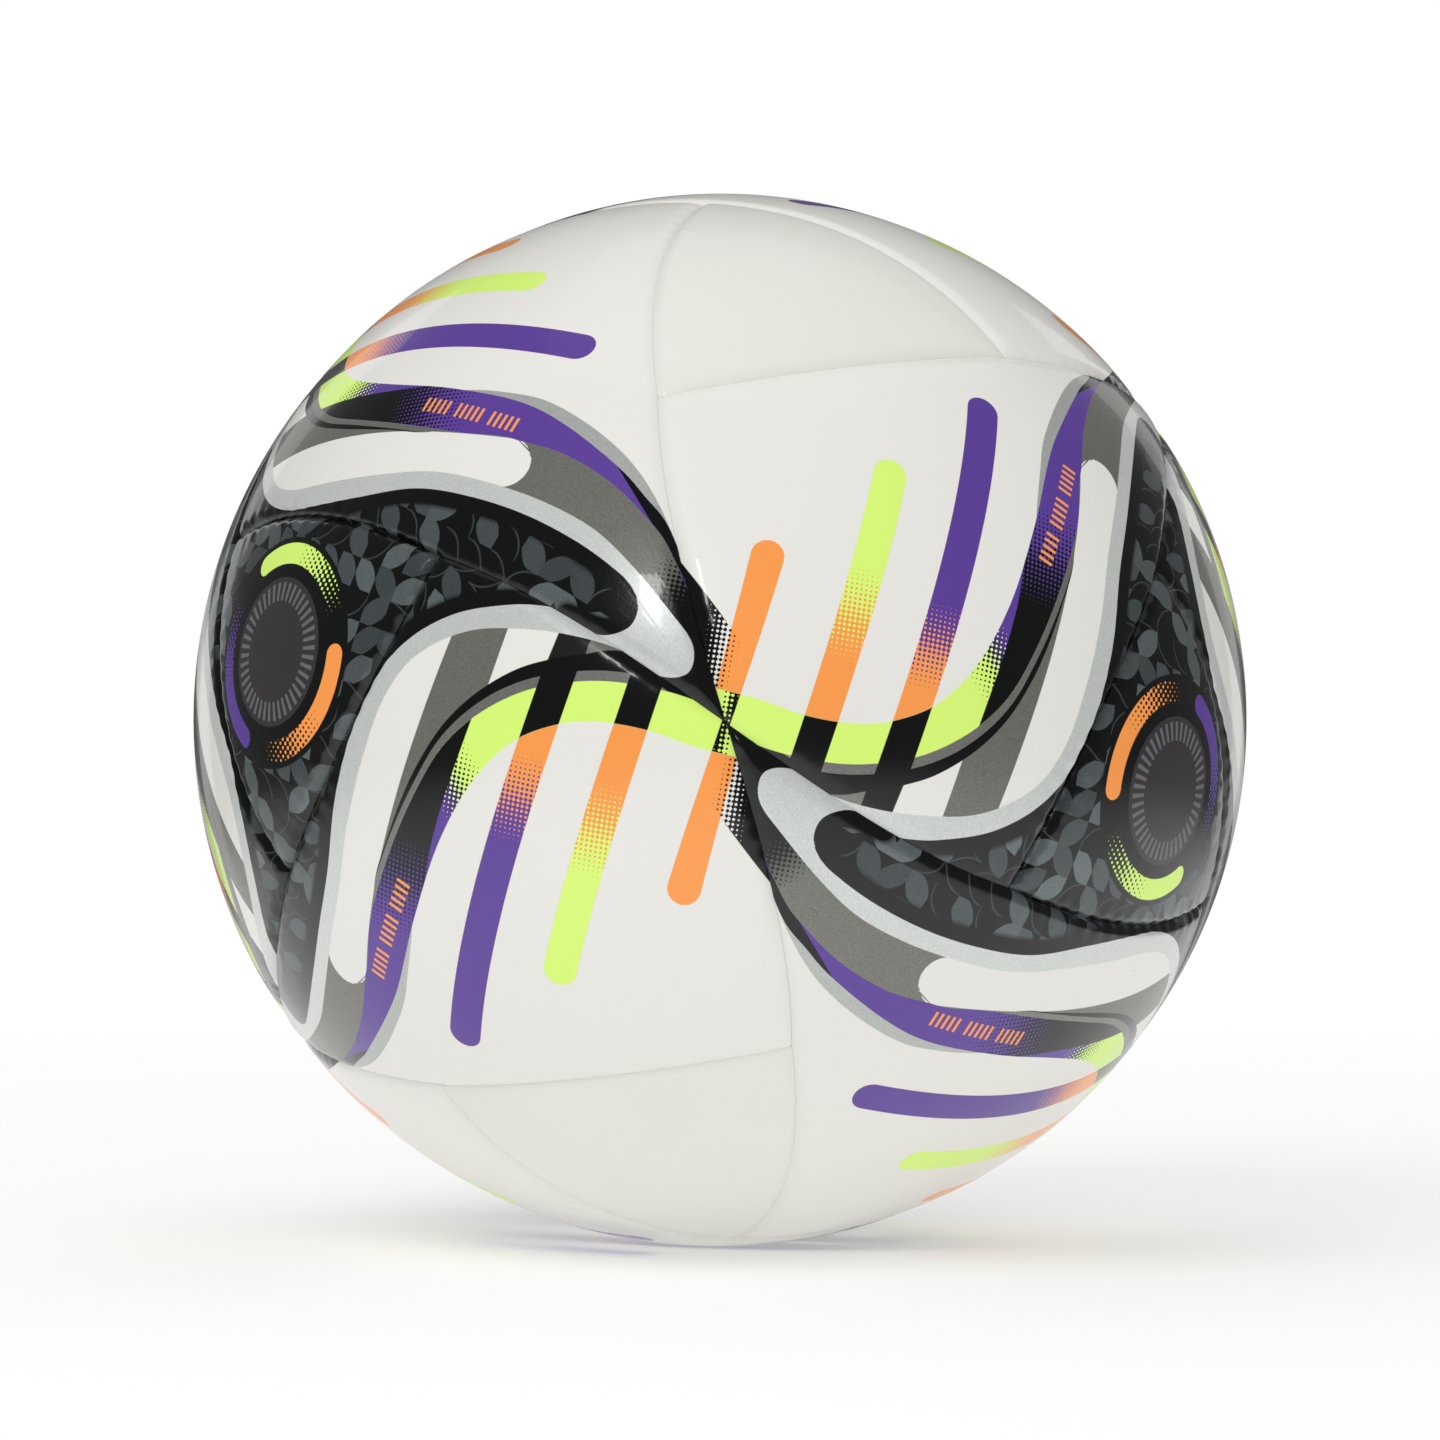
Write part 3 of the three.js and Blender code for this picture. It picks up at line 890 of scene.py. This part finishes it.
def dark_film():
    """Black with three bright arcs, each fading clockwise, round a plain disc with ticks."""
    film = Film("dark_film", BLACK, RING_DOT_GRID)
    radius = film.length("x", "y")
    angle = film.math("ARCTAN2", "y", "x")
    petals(film, film.ramp(radius, PETALS_OUTSIDE, PETALS_OUTSIDE + 0.1))
    film.paint(film.ramp(radius, DISC_RADIUS, DISC_RADIUS - 0.05), DISC)
    ticks = film.ramp(film.math("COSINE", film.math("MULTIPLY", angle, TICKS)), 0.1, 0.3)
    film.paint(film.both(ticks, film.ramp(radius, TICKS_INSIDE, TICKS_INSIDE + 0.05),
                         film.ramp(radius, TICKS_OUTSIDE, TICKS_OUTSIDE - 0.05)), TICK)
    from_ring = film.math("ABSOLUTE", film.math("SUBTRACT", radius, RING_RADIUS))
    ring = film.inside(film.math("SUBTRACT", RING_HALF_WIDTH, from_ring))
    for start, ink in RING_ARCS:
        start = math.radians(start)
        sweep = film.math("FLOORED_MODULO", film.math("SUBTRACT", start, angle), 2 * math.pi)
        spots = film.dots(film.ramp(sweep, *RING_FADE))
        film.paint(film.both(ring, film.ramp(sweep, RING_ARC_END, RING_ARC_END - 0.02), spots), ink)
        cap_x = film.math("SUBTRACT", "x", RING_RADIUS * math.cos(start))
        cap_y = film.math("SUBTRACT", "y", RING_RADIUS * math.sin(start))
        cap = film.math("SUBTRACT", RING_HALF_WIDTH, film.length(cap_x, cap_y))
        film.paint(film.inside(cap), ink)
    return film.close()


def plain_material(name, light, dark, roughness, scale, bump_distance, weave=False, coat=0.0):
    """Rubber, foam, thread or cloth: two tones of noise, with grain or a weave as relief."""
    film = Film(name, (light, 0.0, roughness, 0.0))
    relief = film.noise(scale * 4, 3.0)
    if weave:
        crossed = film.node("ShaderNodeTexMagic", {"Vector": film.place(), "Scale": 5200.0},
                            turbulence_depth=0)
        relief = film.math("ADD", relief, crossed.outputs["Fac"])
    return film.finished(relief, 0.6, bump_distance, {
        "Base Color": film.mix(film.ramp(film.noise(scale, 3.0), 0.35, 0.65), light, dark),
        "Roughness": film.math("MULTIPLY_ADD", film.noise(scale * 3), 0.2, roughness - 0.1),
        "Coat Weight": coat,
    })


# -------- the pieces

def hole_at_valve(turn, centre, radius):
    """The radius of the hole in a turned panel: none unless the valve is there."""
    return radius if turn @ centre @ VALVE_AXIS > 0.99 else 0.0


def make_kite_skins():
    sides = kite_sides()
    directions, points, faces = shell(sides, KITE_CENTRE, skin_rings(sides, KITE_VALLEYS))
    fields = kite_fields(directions)
    film = kite_film()
    for number, turn in enumerate(TURNS, 1):
        piece = make_piece(f"kite_skin_{number:02d}", points, faces, film, turn, fields)
        fit(piece, "printed_cover", f"kite_panel_{number:02d}")


def make_white_skins():
    sides = triangle_sides()
    film = white_film()
    for number, turn in enumerate(TURNS[:4], 1):
        hole = hole_at_valve(turn, TRIANGLE_CENTRE, VALVE_NECK + VALVE_FIT)
        rings = skin_rings(sides, (PLAIN_VALLEY,) * 3, hole)
        _, points, faces = shell(sides, TRIANGLE_CENTRE, rings, hole)
        piece = make_piece(f"white_skin_{number}", points, faces, film, turn)
        fit(piece, "white_cover", f"plain_triangle_{number}")


def make_dark_skins():
    sides = dark_triangle_sides()
    rings = skin_rings(sides, (DARK_VALLEY,) * 3)
    directions, points, faces = shell(sides, DARK_CENTRE, rings)
    fields = triangle_fields(directions, DARK_CENTRE, np.array([1.0, 0.0, 0.0]))
    film = dark_film()
    for number, turn in enumerate(TURNS[:4], 1):
        piece = make_piece(f"dark_skin_{number}", points, faces, film, turn, fields)
        fit(piece, "dark_cover", f"dark_triangle_{number}")


def pad_rings(sides, hole=0.0):
    """A foam backing: crowned, with round edges that pull in between its corners."""
    def crown(height):
        """The radius at a share of the thickness, which droops towards the edges."""
        rise = (PAD_TOP - PAD_BOTTOM) * height
        return lambda ring: PAD_BOTTOM + rise - PAD_DROOP * height * np.exp(
            -edge_distance(ring, sides) / PAD_DROOP_REACH)

    rings = [(share, 2.0, crown(1.0)) for share in (0.9, 0.75, 0.6, 0.45, 0.3, 0.2, 0.14)]
    for angle in np.radians(np.linspace(80, -80, 7)):
        share = PAD_SHARE + 0.04 * (1 - math.cos(angle))
        rings.append((share, 2.0, crown(0.5 + 0.5 * math.sin(angle))))
    rings += [(share, 3.0, crown(0.0)) for share in (0.2, 0.4, 0.6, 0.8)]
    if hole:
        rings = [(1.0, 2.0, crown(0.5)), (0.97, 2.0, crown(1.0))] + rings
        rings += [(0.97, 2.0, crown(0.0)), (1.0, 2.0, crown(0.2))]
    return rings


def make_pads():
    foam = plain_material("foam_backing", srgb(222, 218, 203), srgb(196, 190, 172), 0.85, 600.0,
                          0.0002, weave=True)
    kinds = (
        ("kite_foam", "kite_pad", "02d", kite_sides(), KITE_CENTRE, TURNS),
        ("white_foam", "plain_triangle_pad", "d", triangle_sides(), TRIANGLE_CENTRE, TURNS[:4]),
        ("dark_foam", "dark_triangle_pad", "d", dark_triangle_sides(), DARK_CENTRE, TURNS[:4]),
    )
    for name, node, digits, sides, centre, turns in kinds:
        for i, turn in enumerate(turns, 1):
            number = format(i, digits)
            hole = hole_at_valve(turn, centre, PAD_HOLE)
            _, points, faces = shell(sides, centre, pad_rings(sides, hole), hole)
            piece = make_piece(f"{name}_{number}", points, faces, foam, turn)
            fit(piece, "foam_backing", f"{node}_{number}")


def stitch(side, share, half):
    """One stitch: a short tube along the seam that dives in at both ends."""
    points = []
    faces = []
    stations = 9
    corners = 8
    reach = 0.004
    last = SIDE_SAMPLES
    samples = np.linspace(0, 1, last + 1)
    for along in np.linspace(-1, 1, stations):
        at = share + along * half
        place = unit(np.array([np.interp(at, samples, side[:, axis]) for axis in range(3)]))
        before = side[int(np.clip((at - reach) * last, 0, last - 2))]
        after = side[int(np.clip((at + reach) * last, 2, last))]
        across = np.cross(unit(after - before), place)
        middle = STITCH_LEVEL - STITCH_DIVE * along ** 4
        radius = THREAD_RADIUS * math.sqrt(max(1 - along ** 8, 0.06))
        for corner in range(corners):
            turn = 2 * math.pi * corner / corners
            points.append(place * (middle + radius * math.sin(turn))
                          + across * radius * math.cos(turn))
    for start in range(0, (stations - 1) * corners, corners):
        for corner in range(corners):
            a = start + corner
            b = start + (corner + 1) % corners
            faces.append((a, a + corners, b + corners, b))
    faces.append(tuple(range(corners)))
    faces.append(tuple(reversed(range((stations - 1) * corners, stations * corners))))
    return points, faces


def stitch_rows(routes):
    """The stitches along several seams, as one mesh."""
    points = []
    faces = []
    for route in routes:
        length = seam_length(route)
        count = round(length / STITCH_PITCH)
        for k in range(count):
            new_points, new_faces = stitch(route, (k + 0.5) / count, STITCH_LENGTH / 2 / length)
            faces += [tuple(n + len(points) for n in face) for face in new_faces]
            points += new_points
    return np.array(points), faces


def make_stitches():
    """The stitches of each triangle: its sides, and the seams that run on to the crosses."""
    thread = plain_material("thread", srgb(52, 52, 55), srgb(30, 30, 33), 0.7, 3000.0, 0.00008)
    side = triangle_side()
    cross = cross_seam()
    plain = [side, cycle(side), cycle(cycle(side)), cross, cycle(cross), cycle(cycle(cross))]
    number = 0
    for routes in (plain, [mirrored(route) for route in plain]):
        points, faces = stitch_rows(routes)
        for turn in TURNS[:4]:
            number += 1
            piece = make_piece(f"stitches_{number}", points, faces, thread, turn)
            fit(piece, "thread", "seam_thread")


def octant_sides(signs):
    """The three edges of one eighth of a sphere, anticlockwise from outside, in the row frame."""
    corners = list(np.diag(signs).astype(float))
    if math.prod(signs) < 0:
        corners.reverse()
    turn = np.linspace(0, math.pi / 2, SIDE_SAMPLES + 1)[:, None]
    return [np.cos(turn) * a + np.sin(turn) * b for a, b in zip(corners, corners[1:] + corners[:1])]


def make_bladder():
    """Eight moulded lobes with a shallow ridge where they join."""
    rubber = plain_material("bladder_rubber", srgb(34, 34, 37), srgb(24, 24, 26), 0.5, 260.0,
                            0.0003, coat=0.1)
    for number, signs in enumerate(itertools.product((1, -1), repeat=3), 1):
        sides = [side @ PATTERN_TO_ROW for side in octant_sides(signs)]
        centre = unit(np.array(signs) @ PATTERN_TO_ROW)
        hole = 0.0
        if min(np.cross(side[0], side[-1]) @ VALVE_AXIS for side in sides) > 0:
            centre = VALVE_AXIS
            hole = VALVE_NECK + VALVE_FIT
        _, points, faces = shell(sides, centre, bladder_rings(sides, hole), hole)
        piece = make_piece(f"bladder_lobe_{number}", points, faces, rubber)
        fit(piece, "bladder_rubber", "bladder")


def bladder_rings(sides, hole):
    def skin(depth):
        def radius(ring):
            ridge = np.exp(-(edge_distance(ring, sides) / BLADDER_RIDGE_WIDTH) ** 2)
            return BLADDER_RADIUS - depth - BLADDER_RIDGE * (1 - ridge)
        return radius

    shares = list(np.linspace(0.97, 0.1, 22)) + [0.05, 0.03, 0.018, 0.009, 0.0]
    rings = [(share, 2.0, skin(0.0)) for share in shares]
    rings += [(share, 2.0, skin(BLADDER_WALL)) for share in reversed(shares[::2])]
    if hole:
        rings = [(1.0, 2.0, skin(0.0))] + rings + [(1.0, 2.0, skin(BLADDER_WALL))]
    return rings


def turned(name, profile, material, steps=72):
    """A lathed piece on the valve's axis, from pairs of radius and height."""
    right = unit(np.cross(VALVE_AXIS, [0.0, 0.0, 1.0]))
    up = np.cross(VALVE_AXIS, right)
    points = []
    faces = []
    for i, (radius, height) in enumerate(profile):
        here = i * steps
        beyond = (i + 1) % len(profile) * steps
        for k in range(steps):
            turn = 2 * math.pi * k / steps
            out = right * math.cos(turn) + up * math.sin(turn)
            points.append(VALVE_AXIS * height + out * radius)
            after = (k + 1) % steps
            faces.append((here + k, here + after, beyond + after, beyond + k))
    return make_piece(name, np.array(points), faces, material)


def make_valve():
    rubber = plain_material("valve_rubber", srgb(58, 58, 60), srgb(40, 40, 42), 0.5, 500.0,
                            0.0002, coat=0.15)
    cloth = plain_material("patch_cloth", srgb(190, 184, 168), srgb(160, 154, 138), 0.9, 700.0,
                           0.0002, weave=True)
    housing = turned("valve_neck", [
        (2.6, 56.0), (3.7, 56.0), (3.95, 56.25), (4.0, 57.0), (4.0, 61.2), (4.3, 61.45),
        (7.6, 61.5), (7.9, 61.6), (8.0, 61.9), (8.0, 62.4), (7.9, 62.7), (7.6, 62.85),
        (4.5, 62.95), (4.1, 63.3), (4.0, 64.0), (4.0, 69.2), (3.9, 69.5), (3.7, 69.65),
        (3.0, 69.7), (2.75, 69.6), (2.62, 69.4), (2.6, 69.0)], rubber)
    fit(housing, "valve_rubber", "valve_housing")
    core = turned("valve_plug", [
        (0.02, 55.7), (1.9, 55.7), (2.25, 55.95), (2.3, 56.5), (2.3, 69.0), (2.22, 69.25),
        (2.0, 69.4), (1.2, 69.3), (0.75, 69.1), (0.55, 68.8), (0.5, 68.3), (0.5, 60.4),
        (0.3, 60.1), (0.02, 60.0)], rubber)
    fit(core, "valve_rubber", "valve_core")
    collar = turned("valve_patch", [
        (4.3, 65.5), (4.5, 65.4), (9.2, 65.4), (9.5, 65.6), (9.5, 67.1), (9.3, 67.35),
        (4.6, 67.4), (4.3, 67.2)], cloth)
    fit(collar, "patch_cloth", "valve_collar")


# -------- stage, light and camera

def floor_mesh():
    """A flat disc at the ball's lowest point, with its rings closer together in the middle."""
    rings = 40
    steps = 96
    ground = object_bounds()[0].z
    points = [(0.0, 0.0, ground)]
    faces = [(0, 1 + k, 1 + (k + 1) % steps) for k in range(steps)]
    for i in range(rings):
        radius = FLOOR_RADIUS * ((i + 1) / rings) ** 2
        for k in range(steps):
            turn = 2 * math.pi * k / steps
            points.append((radius * math.cos(turn), radius * math.sin(turn), ground))
            if i + 1 < rings:
                a = 1 + i * steps + k
                b = 1 + i * steps + (k + 1) % steps
                faces.append((a, a + steps, b + steps, b))
    mesh = bpy.data.meshes.new("floor")
    mesh.from_pydata(points, [], faces)
    return mesh


def floor_material():
    """Pale paper that glows a little and fades out away from the ball."""
    film = Film("floor", WHITE)
    away = film.node("ShaderNodeVectorMath", {0: film.place()}, operation="LENGTH")
    limits = {0: away.outputs["Value"], 1: FLOOR_FADE[0], 2: FLOOR_FADE[1]}
    fade = film.node("ShaderNodeMapRange", limits, interpolation_type="SMOOTHSTEP")
    paper = film.node("ShaderNodeBsdfPrincipled", {
        "Base Color": (0.7, 0.7, 0.7, 1),
        "Roughness": 1.0,
        "Emission Color": (1, 1, 1, 1),
        "Emission Strength": FLOOR_GLOW,
    })
    clear = film.node("ShaderNodeBsdfTransparent")
    mix = film.node("ShaderNodeMixShader", {
        0: fade.outputs[0], 1: paper.outputs[0], 2: clear.outputs[0]})
    film.node("ShaderNodeOutputMaterial", {0: mix.outputs[0]})
    return film.material


def add_floor():
    """A pale round floor under the ball, which fades into the pale surroundings."""
    mesh = floor_mesh()
    mesh.materials.append(floor_material())
    floor = in_scene("floor", mesh)


def aimed(name, data, place):
    """A lamp or camera at a place, facing the ball's centre."""
    thing = in_scene(name, data)
    thing.location = place
    thing.rotation_euler = (-place).to_track_quat("-Z", "Y").to_euler()
    return thing


def add_light(name, place, size, power, diffuse=True, glossy=True):
    """A rectangular lamp that faces the ball. One without its glossy share leaves no reflection."""
    data = bpy.data.lights.new(name, "AREA")
    data.shape = "RECTANGLE"
    data.size, data.size_y = size
    data.energy = power
    light = aimed(name, data, Vector(place))
    light.visible_diffuse = diffuse
    light.visible_glossy = glossy


def add_world():
    """White behind the ball, a soft even glow on it, and a dimmer room in its reflections."""
    world = bpy.data.worlds.new("studio")
    world.use_nodes = True
    tree = world.node_tree
    tree.nodes.clear()
    rays = fed_node(tree, "ShaderNodeLightPath", {}).outputs
    glows = [fed_node(tree, "ShaderNodeBackground", {0: (1, 1, 1, 1), 1: strength}).outputs[0]
             for strength in (ROOM_REFLECTION, ROOM_GLOW, 1.0)]
    shader = glows[0]
    for ray, glow in zip(("Is Diffuse Ray", "Is Camera Ray"), glows[1:]):
        inputs = {0: rays[ray], 1: shader, 2: glow}
        shader = fed_node(tree, "ShaderNodeMixShader", inputs).outputs[0]
    fed_node(tree, "ShaderNodeOutputWorld", {0: shader})
    bpy.context.scene.world = world


def add_camera():
    azimuth = math.radians(CAMERA_AZIMUTH)
    elevation = math.radians(CAMERA_ELEVATION)
    place = CAMERA_DISTANCE * Vector((
        math.sin(azimuth) * math.cos(elevation),
        -math.cos(azimuth) * math.cos(elevation),
        math.sin(elevation)))
    data = bpy.data.cameras.new("camera")
    data.lens = CAMERA_LENS
    data.sensor_width = 36.0
    bpy.context.scene.camera = aimed("camera", data, place)


add_camera()
make_kite_skins()
make_white_skins()
make_dark_skins()
make_pads()
make_stitches()
make_bladder()
make_valve()
add_floor()
add_world()
add_light("key", (-0.7, -0.9, 1.1), (1.0, 0.8), 7.5, glossy=False)
add_light("fill", (0.9, -1.0, 0.3), (0.8, 1.0), 2.0, glossy=False)
add_light("top", (0.1, 0.2, 1.2), (1.2, 1.2), 1.2)
add_light("rim_left", (-0.6, 1.0, 0.1), (0.25, 1.4), 0.7)
add_light("rim_right", (0.6, 1.0, 0.0), (0.25, 1.4), 0.7)
add_light("glint", (-0.35, -1.4, 0.68), (0.15, 0.3), 2.0, diffuse=False)
bpy.context.scene.view_settings.view_transform = "Standard"
